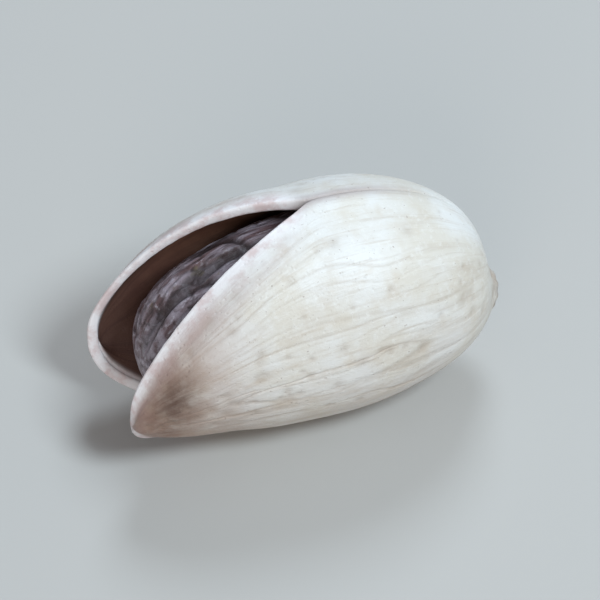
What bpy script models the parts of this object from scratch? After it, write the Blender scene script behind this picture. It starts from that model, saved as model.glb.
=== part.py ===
"""A split pistachio in its shell: two woody half shells with the kernel between them.

Units are metres. The nut is shaped in its own frame: X runs along it with the stem end at +X and
the open tip at -X, the seam lies in the plane Y = 0, and the belly, where the split is longest, is
up at +Z. The empty "nut" then leans that frame over, and the nut rests on a small flat spot on its
back, with the split facing up.
"""

import math

import bmesh
import bpy
from mathutils import Matrix, Vector

MM = 0.001

# The closed shell, outside.
SHELL_LENGTH = 20.2 * MM
SHELL_HEIGHT = 11.9 * MM
SHELL_THICKNESS = 10.9 * MM
WALL = 0.9 * MM
SEAM_GAP = 0.3 * MM

# How full the egg shape is: the stem end is blunt and broad, and the tip is narrow. Both ends droop
# towards the back, the tip more than the stem end, so the belly is rounder than the back.
STEM_FULLNESS = 0.18
STEM_TAPER = 0.09
END_POWER = 0.97
END_POWER_CHANGE = 0.24
TIP_DROOP = 1.6 * MM
STEM_DROOP = 1.0 * MM

# The raised knob round the stem scar, lower than the stem end's middle.
KNOB_HEIGHT = 0.7 * MM
KNOB_RADIUS = 1.4 * MM
KNOB_DROP = 2.0 * MM

# The split. It starts on the belly and on the back at these distances from the stem end. Past the
# start each half moves out towards SPLIT_LIMIT, at a rate that falls off over SPLIT_REACH. The
# lips ease into it over LIP_EASE, and the cheeks over the longer CHEEK_EASE, which keeps the
# shell's sides free of a waist. Near the tip, within TIP_BLEND, the cheeks follow the lips. The
# wall beside an open lip leans away from it, by LIP_LEAN times the opening. The back half has
# parted further than the front half, BACK_SHARE times as far.
BELLY_SPLIT_START = 8.0 * MM
BACK_SPLIT_START = 15.0 * MM
SPLIT_LIMIT = 9.1 * MM
SPLIT_REACH = 17.0 * MM
LIP_EASE = 0.8 * MM
CHEEK_EASE = 5.0 * MM
TIP_BLEND = 0.6
LIP_LEAN = 0.9
BACK_SHARE = 1.2

# The kernel, and where its middle lies from the middle of the shell. It fills the shell, so it is
# wider by up to KERNEL_SWELL times the opening where the halves have parted.
KERNEL_LENGTH = 16.6 * MM
KERNEL_HEIGHT = 9.2 * MM
KERNEL_THICKNESS = 8.0 * MM
KERNEL_END_POWER = 0.85
KERNEL_FULLNESS = 0.05
KERNEL_DROOP = 1.0 * MM
KERNEL_SWELL = 0.85
KERNEL_OFFSET = Vector((0.3 * MM, 0.05 * MM, 0.12 * MM))

# How the nut lies: its belly leans to the back by ROLL, its stem end is up by RISE, and the flat
# spot is as deep as FLAT_DEPTH at its middle.
ROLL = math.radians(-6.0)
RISE = math.radians(4.5)
FLAT_DEPTH = 0.13 * MM

# How finely the surfaces are divided: round the long axis, and from end to end.
SHELL_SIDES = 48
SHELL_STEPS = 30
KERNEL_SIDES = 36
KERNEL_STEPS = 24

FLOOR_BLOCK = 40 * MM
NEAR_POLE = 1e-6


def clear_scene():
    for thing in list(bpy.data.objects):
        bpy.data.objects.remove(thing)


def make_material(name, colour, roughness):
    material = bpy.data.materials.new(name)
    material.use_nodes = True
    surface = material.node_tree.nodes["Principled BSDF"]
    surface.inputs["Base Color"].default_value = (*colour, 1.0)
    surface.inputs["Roughness"].default_value = roughness
    surface.inputs["Metallic"].default_value = 0.0
    return material


def add_to_scene(name, mesh, material, parent):
    """A named object for a mesh, smooth where its faces meet gently."""
    mesh.materials.append(material)
    mesh.shade_smooth()
    mesh.set_sharp_from_angle(angle=math.radians(40))
    thing = bpy.data.objects.new(name, mesh)
    bpy.context.scene.collection.objects.link(thing)
    thing.parent = parent
    return thing


def egg_point(towards, length, height, thickness):
    """Where the egg's surface lies in a direction given on a unit sphere.

    The distance from the long axis is sin(a) to a power, times 1 + STEM_FULLNESS * cos(a), with a
    the angle from the stem end, less STEM_TAPER * cos(a)^2 on the stem side. The power grows towards
    the tip, which narrows the tip.
    """
    across = math.hypot(towards.y, towards.z)
    droop = (STEM_DROOP if towards.x > 0 else TIP_DROOP) * length / SHELL_LENGTH * towards.x**2
    if across < NEAR_POLE:
        return Vector((towards.x * length / 2, 0, -droop))
    power = END_POWER - END_POWER_CHANGE * towards.x
    stemward = max(towards.x, 0)
    reach = across**power * (1 + STEM_FULLNESS * towards.x - STEM_TAPER * stemward**2)
    return Vector(
        (
            towards.x * length / 2,
            towards.y / across * reach * thickness / 2,
            towards.z / across * reach * height / 2 - droop,
        )
    )


def with_stem_knob(point):
    """Pushes the stem end out in a round knob, as a bell curve of the distance from its axis."""
    if point.x < 0:
        return point
    away = math.hypot(point.y, point.z + STEM_DROOP + KNOB_DROP)
    out = KNOB_HEIGHT * math.exp(-((away / KNOB_RADIUS) ** 2))
    return point + Vector((out, 0, 0))


def split_opening(point, ease):
    """How far a half shell has moved out from the seam at a point.

    It is zero on the stem side of a slanted line from the belly's split to the back's. Past that
    line it grows with the distance, after a soft start of length ease.
    """
    belly = Vector((SHELL_LENGTH / 2 - BELLY_SPLIT_START, SHELL_HEIGHT / 2))
    back = Vector((SHELL_LENGTH / 2 - BACK_SPLIT_START, -SHELL_HEIGHT / 2))
    along = belly - back
    to_tip = Vector((-along.y, along.x)).normalized()
    past = to_tip.dot(Vector((point.x, point.z)) - belly)
    if past <= 0:
        return 0.0
    if past < ease:
        eased = past**2 / (2 * ease)
    else:
        eased = past - ease / 2
    return SPLIT_LIMIT * (1 - math.exp(-eased / SPLIT_REACH))


def opening_towards(towards, point):
    """The opening at a point seen in a direction: the lips' at the seam, the cheeks' at the sides."""
    across = math.hypot(towards.y, towards.z)
    if across < NEAR_POLE:
        return split_opening(point, LIP_EASE)
    sideways = abs(towards.y) / across
    cheek = sideways**2 * (3 - 2 * sideways) * min(1, across / TIP_BLEND)
    return (1 - cheek) * split_opening(point, LIP_EASE) + cheek * split_opening(point, CHEEK_EASE)


def lip_lean(towards, opening):
    """How far a point beside an open lip lies nearer the long axis than on the closed shell."""
    across = math.hypot(towards.y, towards.z)
    if across < NEAR_POLE:
        return 0.0
    sideways = abs(towards.y) / across
    return LIP_LEAN * opening * sideways * (1 - sideways) * towards.z / across


def shell_point(towards, side, depth):
    """A point of a half shell: on its outside where depth is 0, and on its inside at the wall's."""
    outer = egg_point(towards, SHELL_LENGTH, SHELL_HEIGHT, SHELL_THICKNESS - SEAM_GAP)
    opening = opening_towards(towards, outer)
    parted = opening * (BACK_SHARE if side > 0 else 1)
    out = Vector((0, side * (SEAM_GAP / 2 + parted), -lip_lean(towards, opening)))
    if depth == 0:
        return with_stem_knob(outer) + out
    inner = egg_point(
        towards,
        SHELL_LENGTH - 2 * depth,
        SHELL_HEIGHT - 2 * depth,
        SHELL_THICKNESS - SEAM_GAP - 2 * depth,
    )
    return inner + out


def lengthwise_sphere(sides, steps):
    """A unit sphere whose poles lie on the X axis."""
    ball = bmesh.new()
    turn = Matrix.Rotation(math.radians(90), 4, "Y")
    bmesh.ops.create_uvsphere(
        ball, u_segments=sides, v_segments=steps, radius=1.0, matrix=turn
    )
    return ball


def finished_mesh(name, shape):
    bmesh.ops.recalc_face_normals(shape, faces=shape.faces)
    mesh = bpy.data.meshes.new(name)
    shape.to_mesh(mesh)
    shape.free()
    return mesh


def make_half_shell(name, side, material, nut):
    """One half of the shell: an outside and an inside, joined round the edge by the rim.

    side is -1 for the front half and 1 for the back half.
    """
    shape = lengthwise_sphere(SHELL_SIDES, SHELL_STEPS)
    bmesh.ops.bisect_plane(
        shape,
        geom=shape.verts[:] + shape.edges[:] + shape.faces[:],
        dist=NEAR_POLE,
        plane_co=(0, 0, 0),
        plane_no=(0, side, 0),
        clear_inner=True,
    )
    outside = shape.verts[:]
    copy = bmesh.ops.duplicate(shape, geom=outside + shape.edges[:] + shape.faces[:])
    inside = [thing for thing in copy["geom"] if isinstance(thing, bmesh.types.BMVert)]
    for corner in outside:
        corner.co = shell_point(corner.co, side, 0)
    for corner in inside:
        corner.co = shell_point(corner.co, side, WALL)
    edges = [edge for edge in shape.edges if edge.is_boundary]
    bmesh.ops.bridge_loops(shape, edges=edges)
    return add_to_scene(name, finished_mesh(name, shape), material, nut)


def kernel_point(towards):
    """Where the kernel's surface lies in a direction given on a unit sphere, from its own middle."""
    across = math.hypot(towards.y, towards.z)
    droop = KERNEL_DROOP * towards.x**2
    if across < NEAR_POLE:
        return Vector((towards.x * KERNEL_LENGTH / 2, 0, -droop))
    reach = across**KERNEL_END_POWER * (1 + KERNEL_FULLNESS * towards.x)
    point = Vector(
        (
            towards.x * KERNEL_LENGTH / 2,
            towards.y / across * reach * KERNEL_THICKNESS / 2,
            towards.z / across * reach * KERNEL_HEIGHT / 2 - droop,
        )
    )
    sideways = towards.y / across
    share = (1 + BACK_SHARE) / 2 + (BACK_SHARE - 1) / 2 * sideways
    room = KERNEL_SWELL * share * split_opening(point + KERNEL_OFFSET, CHEEK_EASE)
    room *= across * (2 - across)
    return point + Vector((0, room * (2 - abs(sideways)) * sideways, 0))


def make_kernel(material, nut):
    """The kernel is a blunt egg that fills the shell, and is widest where the halves have parted."""
    shape = lengthwise_sphere(KERNEL_SIDES, KERNEL_STEPS)
    for corner in shape.verts:
        corner.co = kernel_point(corner.co)
    kernel = add_to_scene("kernel", finished_mesh("kernel", shape), material, nut)
    kernel.location = KERNEL_OFFSET
    return kernel


def world_points(things):
    """Every corner of these objects in the world, with their modifiers."""
    bpy.context.view_layer.update()
    graph = bpy.context.evaluated_depsgraph_get()
    found = []
    for thing in things:
        seen = thing.evaluated_get(graph)
        mesh = seen.to_mesh()
        found += [seen.matrix_world @ corner.co for corner in mesh.vertices]
        seen.to_mesh_clear()
    return found


def lay_on_floor(nut, halves):
    """Moves the nut so that its box is centred on the origin and FLAT_DEPTH of it is below Z = 0."""
    points = world_points(halves)
    for axis in (0, 1):
        values = [point[axis] for point in points]
        nut.location[axis] -= (min(values) + max(values)) / 2
    nut.location.z -= min(point.z for point in points) + FLAT_DEPTH


def cut_flat_spot(halves):
    """Cuts off what is below the floor, which leaves the flat spot that the nut rests on."""
    block = bmesh.new()
    bmesh.ops.create_cube(
        block, size=FLOOR_BLOCK, matrix=Matrix.Translation((0, 0, -FLOOR_BLOCK / 2))
    )
    cutter = bpy.data.objects.new("floor_cutter", finished_mesh("floor_cutter", block))
    bpy.context.scene.collection.objects.link(cutter)
    cutter.hide_render = True
    cutter.display_type = "WIRE"
    for half in halves:
        cut = half.modifiers.new("flat_spot", "BOOLEAN")
        cut.operation = "DIFFERENCE"
        cut.solver = "EXACT"
        cut.object = cutter


def main():
    clear_scene()
    shell = make_material("shell", colour=(0.78, 0.69, 0.55), roughness=0.6)
    skin = make_material("kernel_skin", colour=(0.16, 0.08, 0.075), roughness=0.55)

    nut = bpy.data.objects.new("nut", None)
    bpy.context.scene.collection.objects.link(nut)
    nut.rotation_euler = (ROLL, -RISE, 0)

    halves = [
        make_half_shell("front_half_shell", -1, shell, nut),
        make_half_shell("back_half_shell", 1, shell, nut),
    ]
    make_kernel(skin, nut)
    lay_on_floor(nut, halves)
    cut_flat_spot(halves)


main()
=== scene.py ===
"""The looks of a split pistachio: two bony half shells and the wrinkled kernel between them.

Lengths are in millimetres until a mesh is made. The nut is shaped in its own frame, with X along it
towards the stem end, the seam in the plane Y = 0 and the belly up at +Z, and is then laid on the
floor as the CAD model lies.
"""

import math

import bpy
import numpy as np
from mathutils import Euler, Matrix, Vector


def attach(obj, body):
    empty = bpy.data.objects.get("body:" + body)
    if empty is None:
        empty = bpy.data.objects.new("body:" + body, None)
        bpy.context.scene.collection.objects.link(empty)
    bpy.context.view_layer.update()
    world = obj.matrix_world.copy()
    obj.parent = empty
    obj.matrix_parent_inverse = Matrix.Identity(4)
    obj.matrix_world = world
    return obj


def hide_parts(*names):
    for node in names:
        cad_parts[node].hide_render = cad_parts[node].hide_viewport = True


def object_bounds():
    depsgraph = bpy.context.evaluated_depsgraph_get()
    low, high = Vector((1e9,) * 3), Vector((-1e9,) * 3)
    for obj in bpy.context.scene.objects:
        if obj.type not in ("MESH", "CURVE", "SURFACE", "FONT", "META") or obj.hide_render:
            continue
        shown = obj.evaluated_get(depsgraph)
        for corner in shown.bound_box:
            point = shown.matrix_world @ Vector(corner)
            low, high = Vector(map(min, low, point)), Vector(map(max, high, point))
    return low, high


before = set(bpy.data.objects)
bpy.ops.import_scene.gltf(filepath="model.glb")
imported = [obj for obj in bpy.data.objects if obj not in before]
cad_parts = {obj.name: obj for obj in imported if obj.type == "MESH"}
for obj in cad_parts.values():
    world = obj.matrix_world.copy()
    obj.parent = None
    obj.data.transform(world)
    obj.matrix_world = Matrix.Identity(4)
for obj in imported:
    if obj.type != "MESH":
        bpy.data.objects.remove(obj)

CAD_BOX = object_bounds()
MM = 0.001

# The shell's form, as the CAD model has it.
SHELL_SIZE = (20.2, 10.9, 11.9)
STEM_FULLNESS = 0.18
STEM_TAPER = 0.09
END_POWER = 0.97
END_POWER_CHANGE = 0.24
TIP_DROOP = 1.6
STEM_DROOP = 1.0
KNOB_HEIGHT = 0.7
KNOB_RADIUS = 1.4
KNOB_DROP = 2.0
BELLY_SPLIT_START = 8.0
BACK_SPLIT_START = 15.0
SPLIT_LIMIT = 9.1
SPLIT_REACH = 17.0
LIP_EASE = 0.8
CHEEK_EASE = 5.0
TIP_BLEND = 0.6
LIP_LEAN = 0.9
BACK_SHARE = 1.2
KERNEL_SIZE = (16.6, 8.0, 9.2)
KERNEL_END_POWER = 0.85
KERNEL_FULLNESS = 0.05
KERNEL_DROOP = 1.0
KERNEL_SWELL = 0.85
KERNEL_OFFSET = (0.3, 0.05, 0.12)
ROLL = math.radians(-6.0)
RISE = math.radians(4.5)

# The wall, the rounding of the lip where the halves part and where they touch, and the seam line.
WALL = 0.9
LIP_WALL = 0.56
OPEN_LIP_ROUND = 0.16
SHUT_LIP_ROUND = 0.07
SEAM_LINE = 0.02

# How square the lip's section is: 2 is round.
LIP_SQUARENESS = 2.8

# The point is worn blunt.
TIP_WEAR = 0.45
TIP_WEAR_RADIUS = 1.3

# The shell's relief.
SWELL_HEIGHT = 0.36
VEIN_DEPTH = 0.035
VEIN_WIDTH = 0.022
FINE_VEIN_WIDTH = 0.03
FINE_VEIN_SHARE = 0.6
VEIN_DRIFT = 0.22
GRAIN_HEIGHT = 0.028
PIT_COUNT = 80
PIT_DEPTH = 0.06
PIT_RADII = (0.10, 0.34)
KEEL_HEIGHT = 0.10
KEEL_WIDTH = 1.0
LINING_HEIGHT = 0.05
LIP_WANDER = 0.09

# The stem scar, measured from the middle of the knob.
SCAR_DEPTH = 0.15
SCAR_EDGE = (0.62, 0.80)
SCAR_RIM_HEIGHT = 0.10
SCAR_RIM_RADIUS = 0.88
SCAR_RIM_WIDTH = 0.16
SPOKE_COUNT = 9
SPOKE_HEIGHT = 0.06
SPOKE_RADIUS = 1.5
SPOKE_REACH = 0.8
KNOB_STAIN_RADIUS = 2.4

# The brown smudge on the front half: how far along the nut, in millimetres, how far round it, in
# radians from the belly, and its radius.
SMUDGE_ALONG = -7.6
SMUDGE_AROUND = 1.25
SMUDGE_RADIUS = 1.1

# How fast the lip's pale edge fades, as a power, outside and inside the wall.
LIP_FADE = 110
LIP_FADE_INSIDE = 500
SEAM_FADE = 500

# The kernel's relief. Its folds fade out within FOLDLESS_END of each end, as a share of its girth.
LOBE_HEIGHT = 0.42
FOLD_DEPTH = 0.17
FOLD_WIDTH = 0.05
FOLD_BEND = 0.35
FINE_FOLD_DEPTH = 0.05
FINE_FOLD_WIDTH = 0.06
FINE_FOLD_SHARE = 0.6
CRINKLE_HEIGHT = 0.035
FURROW_DEPTH = 0.10
FURROW_WIDTH = 0.32
FURROW_WANDER = 0.15
FOLDLESS_END = 0.55

# How finely the surfaces are divided. The shell's columns crowd towards its two ends.
SHELL_COLUMNS = 472
COLUMN_CROWDING = 0.3
OUTSIDE_ROWS = 130
LIP_ROWS = 18
INSIDE_ROWS = 48
KERNEL_COLUMNS = 352
KERNEL_ROWS = 262

# The shell's colours, as linear red, green and blue.
BONE_DULL = (0.68, 0.635, 0.565)
BONE_PALE = (0.76, 0.75, 0.73)
CHALK = (0.83, 0.82, 0.80)
TAN_CLOUD = (0.58, 0.485, 0.38)
TAN_STREAK = (0.51, 0.405, 0.30)
TAN_THREAD = (0.48, 0.385, 0.30)
VEIN_BROWN = (0.36, 0.265, 0.19)
PIT_BROWN = (0.34, 0.255, 0.19)
SPECK_BROWN = (0.24, 0.155, 0.11)
# Painted shade on the underside, away from the belly.
UNDERSIDE_SHADE_BROWN = (0.42, 0.305, 0.22)
# The tip's browns are partly a stain and partly painted shade on the drooping tip.
TIP_STAIN_AND_SHADE = (0.335, 0.20, 0.145)
TIP_END_STAIN_AND_SHADE = (0.19, 0.095, 0.062)
BLUSH_PINK = (0.48, 0.345, 0.335)
SMUDGE_BROWN = (0.10, 0.052, 0.036)
SEAM_SHADE = (0.33, 0.245, 0.245)
KNOB_TAN = (0.45, 0.35, 0.27)
SCAR_BROWN = (0.16, 0.095, 0.055)
# The lining's colours are painted dark as shade inside the halves, and the tip's as painted shadow.
LINING_SHADE_DARK = (0.14, 0.058, 0.036)
LINING_SHADE_LIGHT = (0.24, 0.120, 0.075)
LINING_SHADE_STREAK = (0.085, 0.034, 0.023)
LINING_TIP_SHADOW = (0.038, 0.011, 0.008)
# The lip's pale is partly its worn colour and partly a painted highlight.
LIP_PALE_AND_HIGHLIGHT = (0.90, 0.87, 0.885)
LIP_PINK = (0.71, 0.58, 0.575)

# The kernel skin's colours.
SKIN_BROWN = (0.110, 0.060, 0.064)
SKIN_PALE = (0.190, 0.118, 0.126)
SKIN_TAN = (0.19, 0.105, 0.07)
# Mauve is partly the skin's own colour and partly a painted highlight; the sheen is a painted highlight.
SKIN_MAUVE_AND_HIGHLIGHT = (0.40, 0.345, 0.40)
SKIN_SHEEN = (0.55, 0.50, 0.56)
SKIN_GREEN = (0.21, 0.17, 0.075)
# Painted shade in the wrinkles and folds.
WRINKLE_SHADE = (0.022, 0.010, 0.010)
FOLD_SHADE = (0.014, 0.006, 0.006)

# The studio: lengths in metres, angles in degrees.
FLOOR_COLOUR = (0.49, 0.475, 0.455)
FLOOR_SIZE = 4.0
ROOM_COLOUR = (0.90, 0.94, 1.0)
ROOM_STRENGTH = 0.30
WINDOW_LIGHT = (0.79, 0.92, 1.0)
BACK_LIGHT = (0.76, 0.89, 1.0)
FILL_LIGHT = (1.0, 0.93, 0.87)
VIEW_AZIMUTH = -21
VIEW_ELEVATION = 44
LENS = 300
SENSOR = 36
NUT_SHARE_OF_WIDTH = 0.70


# ---------------------------------------------------------------- numbers on grids


def soft_step(low, high, value):
    """0 below low and 1 above high, along 3t^2 - 2t^3 between. With low above high it falls."""
    t = np.clip((value - low) / (high - low), 0, 1)
    return t * t * (3 - 2 * t)


def bell(distance, radius):
    """exp(-(distance / radius)^2)."""
    return np.exp(-((distance / radius) ** 2))


def cloud(u, v, seed, size=64):
    """Smooth noise from 0 to 1: random values at whole u and v, eased between by 3t^2 - 2t^3.

    It repeats every size steps of u and of v.
    """
    corner = np.random.default_rng(seed).random((size, size))
    iu, iv = np.floor(u).astype(int), np.floor(v).astype(int)
    tu, tv = soft_step(0, 1, u - iu), soft_step(0, 1, v - iv)
    low = corner[iu % size, iv % size] * (1 - tv) + corner[iu % size, (iv + 1) % size] * tv
    high = corner[(iu + 1) % size, iv % size] * (1 - tv) + corner[(iu + 1) % size, (iv + 1) % size] * tv
    return low * (1 - tu) + high * tu


def clouds(u, v, seed, octaves=3):
    """A sum of clouds, each twice as fine and half as strong as the one before, from 0 to 1."""
    parts = [cloud(u * 2**n, v * 2**n, seed + n) / 2**n for n in range(octaves)]
    return sum(parts) / sum(1 / 2**n for n in range(octaves))


def patches(along, around, long, count, seed, octaves=2, start=(0, 0)):
    """Clouds about long millimetres long, with count of them to each unit of around.

    The start only picks which part of the noise is used.
    """
    return clouds(along / long + start[0], around * count + start[1], seed, octaves)


def crease(field, width):
    """1 along the lines where a field from 0 to 1 is 0.5, and 0 away from them."""
    return bell(field - 0.5, width)


# ---------------------------------------------------------------- the nut's form


def across_axis(towards):
    """How far a direction is turned from the long axis: 0 along it and 1 square to it."""
    return np.maximum(np.hypot(towards[..., 1], towards[..., 2]), 1e-9)


def egg(towards, size):
    """The egg's surface in the directions given on a unit sphere.

    The distance from the long axis is sin(a)^p (1 + STEM_FULLNESS cos(a)), with a the angle from the
    stem end and p growing towards the tip, less STEM_TAPER cos(a)^2 on the stem side. The ends droop
    by TIP_DROOP cos(a)^2 and STEM_DROOP cos(a)^2.
    """
    length, thickness, height = size
    across = across_axis(towards)
    power = END_POWER - END_POWER_CHANGE * towards[..., 0]
    stemward = np.maximum(towards[..., 0], 0)
    reach = across**power * (1 + STEM_FULLNESS * towards[..., 0] - STEM_TAPER * stemward**2)
    droop = np.where(towards[..., 0] > 0, STEM_DROOP, TIP_DROOP)
    droop = droop * length / SHELL_SIZE[0] * towards[..., 0] ** 2
    return np.stack(
        [
            towards[..., 0] * length / 2,
            towards[..., 1] / across * reach * thickness / 2,
            towards[..., 2] / across * reach * height / 2 - droop,
        ],
        axis=-1,
    )


def split_opening(point, ease):
    """How far a half has moved out: 0 up to a slanted line from the belly's split to the back's.

    Past it, with d the distance less an ease, SPLIT_LIMIT (1 - exp(-d / SPLIT_REACH)).
    """
    length, _, height = SHELL_SIZE
    belly = np.array([length / 2 - BELLY_SPLIT_START, height / 2])
    back = np.array([length / 2 - BACK_SPLIT_START, -height / 2])
    along = (belly - back) / np.hypot(*(belly - back))
    past = -along[1] * (point[..., 0] - belly[0]) + along[0] * (point[..., 2] - belly[1])
    past = np.maximum(past, 0)
    eased = np.where(past < ease, past**2 / (2 * ease), past - ease / 2)
    return SPLIT_LIMIT * (1 - np.exp(-eased / SPLIT_REACH))


def opening(towards, point):
    """The lips' opening at the seam and the cheeks' at the sides, blended by the turn round the axis."""
    across = across_axis(towards)
    sideways = np.abs(towards[..., 1]) / across
    cheek = soft_step(0, 1, sideways) * np.minimum(1, across / TIP_BLEND)
    return (1 - cheek) * split_opening(point, LIP_EASE) + cheek * split_opening(point, CHEEK_EASE)


def normals_of(rows):
    """The unit normals of a grid whose columns close on themselves, all on the same side of it."""
    along = np.roll(rows, -1, axis=1) - np.roll(rows, 1, axis=1)
    down = np.gradient(rows, axis=0)
    normal = np.cross(along, down)
    normal[0], normal[-1] = normal[1].mean(0), normal[-2].mean(0)
    return normal / np.maximum(np.linalg.norm(normal, axis=-1, keepdims=True), 1e-12)


def closed_faces(count, columns):
    """The corners of the faces of a grid of count rows, with its first and last rows as one point each."""
    ring = np.arange(columns)
    after = (ring + 1) % columns
    starts = 1 + np.arange(count - 3)[:, None] * columns
    quads = np.stack([starts + ring, starts + after, starts + columns + after, starts + columns + ring], -1)
    end_start = 1 + (count - 3) * columns
    end = end_start + columns
    first = np.stack([after + 1, ring + 1, np.zeros_like(ring)], -1)
    last = np.stack([end_start + ring, end_start + after, np.full_like(ring, end)], -1)
    return quads.reshape(-1, 4), np.concatenate([first, last])


def on_points(values):
    """A grid's values as one value for each point of its closed mesh."""
    flat = values[1:-1].reshape(-1, *values.shape[2:])
    return np.concatenate([values[:1].mean(1), flat, values[-1:].mean(1)])


def closed_mesh(name, rows, marks):
    """A smooth closed mesh from a grid of points in millimetres, with each mark as a point attribute."""
    points = on_points(rows)
    quads, fans = closed_faces(len(rows), rows.shape[1])
    a, b, c, d = (points[quads[:, n]] for n in range(4))
    volume = np.einsum("ij,ij->i", a, np.cross(b, c) + np.cross(c, d)).sum()
    if volume < 0:
        quads, fans = quads[:, ::-1], fans[:, ::-1]
    corners = np.concatenate([quads.ravel(), fans.ravel()])
    sizes = np.concatenate([np.full(len(quads), 4), np.full(len(fans), 3)])
    mesh = bpy.data.meshes.new(name)
    mesh.vertices.add(len(points))
    mesh.vertices.foreach_set("co", (points * MM).ravel())
    mesh.loops.add(len(corners))
    mesh.loops.foreach_set("vertex_index", corners)
    mesh.polygons.add(len(sizes))
    mesh.polygons.foreach_set("loop_start", np.cumsum(sizes) - sizes)
    mesh.update(calc_edges=True)
    mesh.shade_smooth()
    for key, values in marks.items():
        kind, field = ("FLOAT", "value") if values.ndim == 2 else ("FLOAT_VECTOR", "vector")
        layer = mesh.attributes.new(key, kind, "POINT")
        layer.data.foreach_set(field, on_points(values).astype(np.float32).ravel())
    return mesh


# ---------------------------------------------------------------- the shell


def lip_path():
    """The wall's path from the middle of the outside, over the lip, to the middle of the inside.

    It gives, row by row, the angle from the middle, how deep in the wall the row is, from 0 to 1,
    and how far back from the lip's crest, from 0 to 1. The lip is half of a rounded rectangle.
    """
    outside = np.linspace(0, math.pi / 2, OUTSIDE_ROWS)
    inside = np.linspace(math.pi / 2, 0, INSIDE_ROWS)
    turn = np.linspace(0, math.pi, LIP_ROWS + 2)[1:-1]
    square = 2 / LIP_SQUARENESS
    deep = (1 - np.sign(np.cos(turn)) * np.abs(np.cos(turn)) ** square) / 2
    back = 1 - np.sin(turn) ** square
    lip = np.full(LIP_ROWS, math.pi / 2)
    return (
        np.concatenate([outside, lip, inside]),
        np.concatenate([np.zeros(OUTSIDE_ROWS), deep, np.ones(INSIDE_ROWS)]),
        np.concatenate([np.ones(OUTSIDE_ROWS), back, np.ones(INSIDE_ROWS)]),
    )


def shell_form(side):
    """A half shell's bare form, with what its details need to know at each point.

    It is the egg outside, a smaller egg inside and the lip between them, moved out sideways by the
    opening. Between the lip and the cheek the wall is lowered by LIP_LEAN times the opening, so that
    the lip leans out.
    """
    angle, deep, back = (values[:, None] for values in lip_path())
    even = np.linspace(0, 2 * math.pi, SHELL_COLUMNS, endpoint=False)
    turn = (even - COLUMN_CROWDING * np.sin(2 * even))[None, :]
    towards = np.stack(
        [np.sin(angle) * np.cos(turn), side * np.cos(angle) + 0 * turn, np.sin(angle) * np.sin(turn)],
        axis=-1,
    )
    outer = egg(towards, SHELL_SIZE)
    wall = LIP_WALL + (WALL - LIP_WALL) * (1 - np.sin(angle) ** 8)
    inner = egg(towards, [size - 2 * wall for size in SHELL_SIZE])
    point = outer + (inner - outer) * deep[..., None]
    apart = opening(towards, outer)
    round_off = SHUT_LIP_ROUND + (OPEN_LIP_ROUND - SHUT_LIP_ROUND) * soft_step(0, 0.6, apart)
    squeeze = 1 - round_off / (SHELL_SIZE[1] / 2)
    out = SEAM_LINE / 2 + apart * (BACK_SHARE if side > 0 else 1) + round_off * back
    rows = point * np.stack([np.ones_like(apart), squeeze, np.ones_like(apart)], -1)
    rows[..., 1] += side * out
    across = across_axis(towards)
    sideways = np.abs(towards[..., 1]) / across
    rows[..., 2] -= LIP_LEAN * apart * sideways * (1 - sideways) * towards[..., 2] / across
    around = np.arctan2(np.abs(towards[..., 1]), towards[..., 2])
    return {
        "rows": rows,
        "outer": outer,
        "apart": apart,
        "around": around,
        "deep": deep + 0 * turn,
        "crest": 1 - back + 0 * turn,
        "edge": np.sin(angle) + 0 * turn,
    }


def pit_field(rows, seed, count, radii):
    """Scattered round pits: the sum of bells round count points of the grid, each with its radius.

    None is in the eight rows round the middle of the half or in the four by the lip.
    """
    pick = np.random.default_rng(seed)
    flat = rows[:OUTSIDE_ROWS].reshape(-1, 3)
    centres = flat[pick.integers(SHELL_COLUMNS * 8, len(flat) - SHELL_COLUMNS * 4, count)]
    sizes = pick.uniform(*radii, count)
    field = np.zeros(rows.shape[:2])
    for centre, radius in zip(centres, sizes):
        field += bell(np.linalg.norm(rows - centre, axis=-1), radius)
    return np.clip(field, 0, 1)


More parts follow.
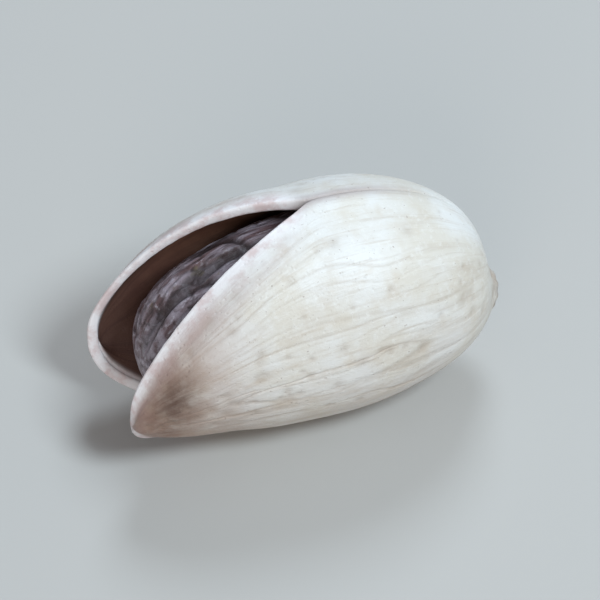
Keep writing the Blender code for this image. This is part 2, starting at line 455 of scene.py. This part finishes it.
def shell_half(name, side, seed):
    """A half shell with its relief.

    The bare form is moved along its normals by a sum of swellings, veins, grain, pits and keel, and
    along X by the stem knob, its scar and the worn point. The lip wanders a little along Y.
    """
    form = shell_form(side)
    rows, outer, around = form["rows"], form["outer"], form["around"]
    outside = 1 - form["deep"]
    inland = 1 - form["edge"] ** 10
    shut = 1 - soft_step(0, 0.5, form["apart"])

    along = outer[..., 0]
    swell = patches(along, around, long=5.5, count=1.1, seed=seed, start=(7, 3)) - 0.5
    swell = swell * (1 - form["edge"] ** 3)
    wander = patches(along, around, long=4, count=1.3, seed=seed + 10, start=(5, 0)) - 0.5
    drift = around + VEIN_DRIFT * wander
    broad = patches(along, drift, long=14, count=3.6, seed=seed + 20, start=(3, 2))
    narrow = patches(along, drift, long=8, count=6.5, seed=seed + 30, start=(1, 0))
    vein = np.maximum(crease(broad, VEIN_WIDTH), FINE_VEIN_SHARE * crease(narrow, FINE_VEIN_WIDTH))
    grain = patches(along, drift, long=3, count=16, seed=seed + 40, octaves=3, start=(4, 0)) - 0.5
    pits = pit_field(rows, seed + 50, PIT_COUNT, PIT_RADII)
    worn = clouds(along * 1.3 + 9, around * 0 + 0.5, seed + 60) - 0.5
    lining = patches(along, around, long=2.2, count=3, seed=seed + 70) - 0.5
    keel = bell(outer[..., 1], KEEL_WIDTH) * shut * (1 - form["crest"])

    stem_side = along > 0
    above_knob = outer[..., 2] + STEM_DROOP + KNOB_DROP
    from_knob = np.hypot(outer[..., 1], above_knob)
    knob = np.where(stem_side, bell(from_knob, KNOB_RADIUS), 0)
    scar = np.where(stem_side, 1 - soft_step(*SCAR_EDGE, from_knob), 0)
    scar_rim = np.where(stem_side, bell(from_knob - SCAR_RIM_RADIUS, SCAR_RIM_WIDTH), 0)
    spokes = np.where(stem_side, bell(from_knob - SPOKE_RADIUS, SPOKE_REACH), 0)
    spokes = spokes * (np.cos(SPOKE_COUNT * np.arctan2(outer[..., 1], above_knob)) - 0.2)

    lift = SWELL_HEIGHT * swell * inland
    lift -= VEIN_DEPTH * vein * inland
    lift += GRAIN_HEIGHT * grain * inland
    lift -= PIT_DEPTH * pits * inland
    lift += KEEL_HEIGHT * keel
    lift *= outside
    lift += LINING_HEIGHT * lining * form["deep"] * inland

    normal = normals_of(rows)
    outer_middle = slice(0, OUTSIDE_ROWS // 2)
    middle = rows[outer_middle].reshape(-1, 3).mean(0) - rows[-INSIDE_ROWS:].reshape(-1, 3).mean(0)
    if (normal[outer_middle].reshape(-1, 3).mean(0) * middle).sum() < 0:
        normal = -normal
    rows = rows + normal * lift[..., None]
    stem_relief = KNOB_HEIGHT * knob + SCAR_RIM_HEIGHT * scar_rim - SCAR_DEPTH * scar
    stem_relief += SPOKE_HEIGHT * spokes
    rows[..., 0] += stem_relief * outside
    rows[..., 1] += side * LIP_WANDER * worn * form["edge"] ** 30 * (1 - shut)
    from_tip = np.hypot(outer[..., 1], outer[..., 2] + TIP_DROOP)
    rows[..., 0] += TIP_WEAR * np.where(stem_side, 0, bell(from_tip, TIP_WEAR_RADIUS))

    lip_fade = np.where(form["deep"] == 1, LIP_FADE_INSIDE, LIP_FADE)
    from_smudge = np.hypot((along - SMUDGE_ALONG) * 0.9, (around - SMUDGE_AROUND) * 2.0)
    on_front = 0.5 - 0.5 * side
    marks = {
        "grain": np.stack([along, around * 4.2, rows[..., 1]], -1),
        "inside": form["deep"],
        "lip": form["edge"] ** lip_fade * (1 - shut),
        "seam": form["edge"] ** SEAM_FADE * shut * outside * soft_step(9, 3, along),
        "near_lip": form["edge"] ** 6,
        "vein": vein * outside * inland,
        "pit": pits * outside,
        "scar": np.clip(scar + 0.5 * scar_rim, 0, 1) * outside,
        "knob": np.where(stem_side, bell(from_knob, KNOB_STAIN_RADIUS), 0),
        "apart": np.clip(form["apart"] / 2.5, 0, 1),
        "belly": np.cos(around) / 2 + 0.5,
        "tip": soft_step(-2.0, -8.6, along),
        "spot": bell(from_smudge, SMUDGE_RADIUS) * outside * on_front,
    }
    return name, rows, marks


# ---------------------------------------------------------------- the kernel


def kernel_body():
    """The kernel in its skin.

    It is a smaller egg, swollen sideways where the halves part, and moved along its normals by a sum
    of lobes, folds, fine folds, crinkles and a furrow along its top.
    """
    lean = np.linspace(0, math.pi, KERNEL_ROWS)[:, None]
    turn = np.linspace(0, 2 * math.pi, KERNEL_COLUMNS, endpoint=False)[None, :]
    length, thickness, height = KERNEL_SIZE
    stemward = np.cos(lean) + 0 * turn
    across = np.maximum(np.sin(lean), 1e-9)
    reach = across**KERNEL_END_POWER * (1 + KERNEL_FULLNESS * stemward)
    rows = np.stack(
        [
            stemward * length / 2,
            np.sin(turn) * reach * thickness / 2,
            np.cos(turn) * reach * height / 2 - KERNEL_DROOP * stemward**2,
        ],
        axis=-1,
    )
    share = (1 + BACK_SHARE) / 2 + (BACK_SHARE - 1) / 2 * np.sin(turn)
    room = KERNEL_SWELL * share * split_opening(rows + np.array(KERNEL_OFFSET), CHEEK_EASE)
    room = room * across * (2 - across)
    rows[..., 1] += room * (2 - np.abs(np.sin(turn))) * np.sin(turn)
    along = rows[..., 0]
    wrinkled = soft_step(0, FOLDLESS_END, across)
    turns = turn / (2 * math.pi)

    # The lobes and folds don't run on where the turn closes, at the top. The furrow lies there.
    bend = FOLD_BEND * (patches(along, turns, long=3, count=8, seed=7, start=(6, 0)) - 0.5)
    lobes = clouds(along / 5 + 2, turns * 8 + bend, 11, 2) - 0.5
    folds = crease(clouds(along / 3.4 + 8, turns * 16 + 2 * bend, 13, 2), FOLD_WIDTH)
    fine_folds = crease(clouds(along / 1.5 + 4, turns * 32 + 3 * bend, 17, 2), FINE_FOLD_WIDTH)
    crinkle = patches(along, turns, long=0.5, count=64, seed=19) - 0.5
    furrow = bell(rows[..., 1] - FURROW_WANDER * np.sin(along), FURROW_WIDTH) * (rows[..., 2] > 0)

    lift = LOBE_HEIGHT * lobes - FOLD_DEPTH * folds - FINE_FOLD_DEPTH * fine_folds
    lift += CRINKLE_HEIGHT * crinkle - FURROW_DEPTH * furrow
    normal = normals_of(rows)
    if (normal * rows).sum() < 0:
        normal = -normal
    rows = rows + normal * (lift * wrinkled)[..., None]
    rows = rows + np.array(KERNEL_OFFSET)
    marks = {
        "grain": np.stack([along, np.sin(turn) * 4 * across, np.cos(turn) * 4 * across], -1),
        "crease": np.clip(folds + FINE_FOLD_SHARE * fine_folds + furrow, 0, 1) * wrinkled,
        "lobe": lobes + 0.5,
    }
    return "kernel_in_skin", rows, marks


# ---------------------------------------------------------------- laying the nut down


def lay_down(pieces):
    """Turns the pieces as the nut lies and centres the shell on the CAD box.

    What is then under the floor is pushed up to it along the nut's own Z, so that the seam stays open.
    """
    turned = np.array(Euler((ROLL, -RISE, 0)).to_matrix())
    laid = [(name, rows @ turned.T, marks) for name, rows, marks in pieces]
    shell = np.concatenate([rows.reshape(-1, 3) for name, rows, _ in laid if "shell" in name])
    low, high = (np.array(corner) / MM for corner in CAD_BOX)
    move = high - shell.max(0)
    move[1] = (low + high)[1] / 2 - (shell.min(0) + shell.max(0))[1] / 2
    up = turned[:, 2] / turned[2, 2]
    for name, rows, marks in laid:
        rows += move
        rows += np.maximum(-rows[..., 2:], 0) * up
    return laid


def add_piece(name, rows, marks, material, node, slot):
    """Makes a piece in its finish, and hides the CAD node it replaces."""
    piece = bpy.data.objects.new(name, closed_mesh(name, rows, marks))
    bpy.context.scene.collection.objects.link(piece)
    piece.data.materials.append(material)
    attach(piece, "root")
    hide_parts(node)


# ---------------------------------------------------------------- finishes


class Wire:
    """A number in a material. Arithmetic on it adds Math nodes to the material's tree."""

    def __init__(self, finish, socket):
        self.finish = finish
        self.socket = socket

    def math(self, operation, *values):
        sockets = dict(enumerate((self, *values)))
        return self.finish.node("ShaderNodeMath", {"operation": operation}, sockets)

    def __add__(self, other):
        return self.math("ADD", other)

    def __sub__(self, other):
        return self.math("SUBTRACT", other)

    def __rsub__(self, other):
        return self.finish.node("ShaderNodeMath", {"operation": "SUBTRACT"}, {0: other, 1: self})

    def __mul__(self, other):
        return self.math("MULTIPLY", other)

    def step(self, low, high):
        """0 below low and 1 above high, with a soft slope between."""
        return self.finish.node(
            "ShaderNodeMapRange",
            {"interpolation_type": "SMOOTHSTEP"},
            {"Value": self, "From Min": low, "From Max": high},
            "Result",
        )

    __radd__ = __add__
    __rmul__ = __mul__


# A Mix node has its sockets once for each data type. These are the colour ones.
MIX_COLOUR_A = 6
MIX_COLOUR_B = 7
MIX_COLOUR_OUT = 2


class Finish:
    """A material under construction."""

    def __init__(self, name):
        self.material = bpy.data.materials.new(name)
        self.material.use_nodes = True
        self.tree = self.material.node_tree
        self.surface = self.tree.nodes["Principled BSDF"]

    def node(self, kind, settings, sockets, output=0):
        """Adds a node, with its settings first and then its sockets' values or links."""
        made = self.tree.nodes.new(kind)
        for key, value in settings.items():
            setattr(made, key, value)
        for key, value in sockets.items():
            self.feed(made.inputs[key], value)
        return Wire(self, made.outputs[output])

    def feed(self, socket, value):
        if isinstance(value, Wire):
            self.tree.links.new(value.socket, socket)
        else:
            socket.default_value = value

    def mark(self, name, output="Fac"):
        """A point attribute of the piece."""
        return self.node("ShaderNodeAttribute", {"attribute_name": name}, {}, output)

    def millimetres(self):
        """The place in the object, in millimetres."""
        place = self.node("ShaderNodeTexCoord", {}, {}, "Object")
        return self.scaled(place, (1000, 1000, 1000))

    def scaled(self, vector, by):
        return self.node("ShaderNodeVectorMath", {"operation": "MULTIPLY"}, {0: vector, 1: by})

    def noise(self, place, scale=1.0, detail=3.0, roughness=0.55, distortion=0.0):
        """Noise from about 0.2 to 0.8, with scale of its patches to a millimetre."""
        values = {"Scale": scale, "Detail": detail, "Roughness": roughness, "Distortion": distortion}
        return self.node("ShaderNodeTexNoise", {}, {"Vector": place, **values})

    def cells(self, place, scale):
        """The distance to the nearest of a cloud of points."""
        return self.node("ShaderNodeTexVoronoi", {}, {"Vector": place, "Scale": scale}, "Distance")

    def blend(self, amount, under, over):
        """One colour laid over another by an amount from 0 to 1."""
        settings = {"data_type": "RGBA", "clamp_factor": True}
        mixed = self.node("ShaderNodeMix", settings, {"Factor": amount}, MIX_COLOUR_OUT)
        ends = mixed.socket.node.inputs
        for socket, colour in ((ends[MIX_COLOUR_A], under), (ends[MIX_COLOUR_B], over)):
            self.feed(socket, colour if isinstance(colour, Wire) else (*colour, 1.0))
        return mixed

    def stain(self, under, over, mask, strength, between=None):
        """One colour laid over another where a mask is, by a strength from 0 to 1.

        With between, the mask is first stepped from its first value to its second.
        """
        if between:
            mask = mask.step(*between)
        return self.blend(mask * strength, under, over)

    def bump(self, height):
        """The normal of a surface raised by a height in millimetres."""
        return self.node("ShaderNodeBump", {}, {"Strength": 1.0, "Distance": MM, "Height": height})

    def done(self, colour, roughness, normal, **constants):
        for key, value in (("Base Color", colour), ("Roughness", roughness), ("Normal", normal)):
            self.feed(self.surface.inputs[key], value)
        for key, value in constants.items():
            self.surface.inputs[key.replace("_", " ")].default_value = value
        return self.material


def shell_finish():
    """Dry bone-white shell, with its lining painted dark brown as shade inside the halves.

    It has faint mottling, threads and veins, a brown tip that is partly a stain and partly painted
    shade, painted shade on the underside, a pink blush by the lip and a pale worn lip that is partly
    a painted highlight.
    """
    finish = Finish("bony_shell")
    place, grain = finish.millimetres(), finish.mark("grain", "Vector")
    inside, lip, near_lip, seam = (finish.mark(name) for name in ("inside", "lip", "near_lip", "seam"))
    vein, pit, scar, knob = (finish.mark(name) for name in ("vein", "pit", "scar", "knob"))
    apart, belly, tip, spot = (finish.mark(name) for name in ("apart", "belly", "tip", "spot"))

    mottle = finish.noise(place, scale=0.3, detail=4)
    cloud = finish.noise(place, scale=0.9, detail=5, roughness=0.6)
    streak = finish.noise(finish.scaled(grain, (0.22, 1.7, 0.4)), detail=5, roughness=0.6)
    thread = finish.noise(finish.scaled(grain, (0.35, 7.5, 0.4)), detail=4, roughness=0.6)
    bloom = finish.noise(place, scale=3.0, detail=6, roughness=0.7)
    speck = finish.noise(place, scale=6.0, detail=2, roughness=0.5)

    colour = finish.blend(mottle.step(0.35, 0.65), BONE_DULL, BONE_PALE)
    colour = finish.stain(colour, TAN_CLOUD, cloud, 0.32, between=(0.5, 0.76))
    colour = finish.stain(colour, TAN_STREAK, streak, 0.26, between=(0.5, 0.74))
    colour = finish.stain(colour, TAN_THREAD, thread, 0.30, between=(0.52, 0.7))
    colour = finish.stain(colour, VEIN_BROWN, vein, 0.30)
    colour = finish.stain(colour, CHALK, bloom, 0.4, between=(0.5, 0.68))

    # Painted shade: the underside, away from the belly, is darkened brown in mottled patches.
    underside_shade = (1 - belly).step(0.35, 1.0) * (mottle * 0.5 + streak * 0.7).step(0.4, 0.8)
    colour = finish.stain(colour, UNDERSIDE_SHADE_BROWN, underside_shade, 0.6)
    # The tip is browned, partly as a stain and partly as painted shade, and darkest at its very end.
    tip_stain_and_shade = tip * (cloud * 0.8 + mottle * 0.5).step(0.24, 0.74)
    colour = finish.stain(colour, TIP_STAIN_AND_SHADE, tip_stain_and_shade, 0.9)
    tip_end_stain_and_shade = tip.step(0.86, 1.0) * (cloud * 0.7 + streak * 0.6).step(0.3, 0.8)
    colour = finish.stain(colour, TIP_END_STAIN_AND_SHADE, tip_end_stain_and_shade, 0.6)
    blush = near_lip.step(0.25, 1.0) * apart.step(0.05, 0.6)
    blush = blush * (streak * 0.6 + cloud * 0.6).step(0.4, 0.75)
    colour = finish.stain(colour, BLUSH_PINK, blush, 0.5)
    smudge = spot * (cloud * 0.9 + streak * 0.9 - 0.1)
    colour = finish.blend(smudge, colour, SMUDGE_BROWN)

    colour = finish.stain(colour, SEAM_SHADE, seam, 0.6)
    colour = finish.stain(colour, KNOB_TAN, knob.step(0.3, 0.95) * cloud.step(0.35, 0.65), 0.6)
    colour = finish.stain(colour, SCAR_BROWN, scar, 0.85)
    colour = finish.stain(colour, PIT_BROWN, pit, 0.28)
    colour = finish.stain(colour, SPECK_BROWN, speck, 0.5, between=(0.70, 0.74))

    # Painted shade: the lining is dark brown with darker streaks, and darkest as painted shadow inside the
    # tip.
    lining = finish.blend(mottle.step(0.3, 0.7), LINING_SHADE_DARK, LINING_SHADE_LIGHT)
    lining = finish.stain(lining, LINING_SHADE_STREAK, streak, 0.6, between=(0.42, 0.68))
    lining = finish.stain(lining, LINING_TIP_SHADOW, tip, 0.8)
    colour = finish.blend(inside, colour, lining)
    # The lip is pale where worn, and brightened further as a painted highlight along its crest.
    worn_lip_and_highlight = finish.blend(cloud.step(0.4, 0.62), LIP_PALE_AND_HIGHLIGHT, LIP_PINK)
    colour = finish.stain(colour, worn_lip_and_highlight, lip, 0.9)

    height = bloom * 0.020 + thread * 0.028 + finish.noise(place, scale=10.0) * 0.010
    height = height - finish.cells(place, scale=2.6).step(0.26, 0.0) * 0.02
    height = height * (1 - inside * 0.5)
    roughness = 0.34 + bloom * 0.2 + scar * 0.25 + inside * 0.3
    return finish.done(colour, roughness, finish.bump(height), Specular_IOR_Level=0.5)


def kernel_finish():
    """Papery kernel skin: purple-brown, mauve-grey along the wrinkles, partly its own colour and partly a
    painted highlight, a painted sheen on the wrinkle crests, painted shade in the wrinkles and folds,
    and tan and greenish worn patches.
    """
    finish = Finish("papery_skin")
    place, grain = finish.millimetres(), finish.mark("grain", "Vector")
    fold, lobe = finish.mark("crease"), finish.mark("lobe")
    mottle = finish.noise(place, scale=0.5, detail=5, roughness=0.6)
    patch = finish.noise(place, scale=0.75, detail=5, roughness=0.6)
    fibre = finish.noise(finish.scaled(grain, (0.24, 2.2, 2.2)), detail=4, roughness=0.5)
    wrinkle = finish.noise(finish.scaled(grain, (0.5, 4.5, 4.5)), detail=3, roughness=0.5, distortion=0.4)
    fine = finish.noise(place, scale=6.0, detail=5, roughness=0.7)

    colour = finish.blend(mottle.step(0.3, 0.7), SKIN_BROWN, SKIN_PALE)
    colour = finish.stain(colour, SKIN_TAN, lobe, 0.4, between=(0.55, 0.85))
    # Mauve-grey lengthwise streaks: partly the skin's own colour, partly a painted highlight.
    colour = finish.stain(colour, SKIN_MAUVE_AND_HIGHLIGHT, fibre, 0.8, between=(0.34, 0.62))
    # Painted highlight: a pale sheen on the crests of the wrinkles.
    colour = finish.stain(colour, SKIN_SHEEN, wrinkle.step(0.53, 0.66) * fine.step(0.4, 0.6), 0.75)
    colour = finish.stain(colour, SKIN_GREEN, patch, 0.6, between=(0.60, 0.68))
    # Painted shade in the troughs of the wrinkles and along the folds.
    colour = finish.stain(colour, WRINKLE_SHADE, wrinkle, 0.65, between=(0.45, 0.33))
    colour = finish.stain(colour, FOLD_SHADE, fold, 0.8)

    height = fine * 0.05 + fibre * 0.12 + wrinkle * 0.14 - fold * 0.03
    roughness = 0.26 + mottle * 0.2 + fold * 0.1
    return finish.done(colour, roughness, finish.bump(height), Specular_IOR_Level=0.55)


def floor_finish():
    finish = Finish("pale_floor")
    finish.surface.inputs["Base Color"].default_value = (*FLOOR_COLOUR, 1)
    finish.surface.inputs["Roughness"].default_value = 0.9
    return finish.material


# ---------------------------------------------------------------- the studio


def add_floor():
    bpy.ops.mesh.primitive_plane_add(size=FLOOR_SIZE)
    floor = bpy.context.object
    floor.name = "floor"
    floor.data.materials.append(floor_finish())


def look_from(azimuth, elevation):
    """The direction towards the viewer; azimuth 0 is the front and 90 the right."""
    a, e = math.radians(azimuth), math.radians(elevation)
    return Vector((math.sin(a) * math.cos(e), -math.cos(a) * math.cos(e), math.sin(e)))


def add_lamp(name, colour, azimuth, elevation, distance, size, watts):
    """A round soft lamp that shines at the middle of the floor."""
    lamp = bpy.data.lights.new(name, "AREA")
    lamp.shape = "DISK"
    lamp.size = size
    lamp.energy = watts
    lamp.color = colour
    holder = bpy.data.objects.new(name, lamp)
    bpy.context.scene.collection.objects.link(holder)
    away = look_from(azimuth, elevation)
    holder.location = away * distance
    holder.rotation_euler = away.to_track_quat("Z", "Y").to_euler()


def add_studio():
    """Even light from the room, a window to the front right, one behind, and a warm low fill."""
    world = bpy.data.worlds.new("soft_room")
    world.use_nodes = True
    world.node_tree.nodes["Background"].inputs["Color"].default_value = (*ROOM_COLOUR, 1)
    world.node_tree.nodes["Background"].inputs["Strength"].default_value = ROOM_STRENGTH
    bpy.context.scene.world = world
    bpy.context.scene.view_settings.view_transform = "Standard"
    add_lamp("window", WINDOW_LIGHT, azimuth=31, elevation=52, distance=0.4, size=0.13, watts=1.14)
    add_lamp("back_window", BACK_LIGHT, azimuth=150, elevation=48, distance=0.4, size=0.16, watts=0.75)
    add_lamp("front_fill", FILL_LIGHT, azimuth=-30, elevation=22, distance=0.5, size=0.25, watts=0.64)


def add_camera():
    """A long lens from the front and a little to the left of the nut, well above it."""
    low, high = CAD_BOX
    data = bpy.data.cameras.new("camera")
    data.lens = LENS
    data.sensor_width = SENSOR
    camera = bpy.data.objects.new("camera", data)
    bpy.context.scene.collection.objects.link(camera)
    away = look_from(VIEW_AZIMUTH, VIEW_ELEVATION)
    distance = (high.x - low.x) / NUT_SHARE_OF_WIDTH * LENS / SENSOR
    camera.location = (low + high) / 2 + away * distance
    camera.rotation_euler = away.to_track_quat("Z", "Y").to_euler()
    data.clip_start, data.clip_end = 0.01, 10
    bpy.context.scene.camera = camera


def main():
    shell, skin = shell_finish(), kernel_finish()
    front, back, kernel = lay_down(
        [shell_half("front_shell_half", -1, 100), shell_half("back_shell_half", 1, 300), kernel_body()]
    )
    add_piece(*front, shell, "front_half_shell", "shell")
    add_piece(*back, shell, "back_half_shell", "shell")
    add_piece(*kernel, skin, "kernel", "kernel_skin")
    add_floor()
    add_studio()
    add_camera()


main()
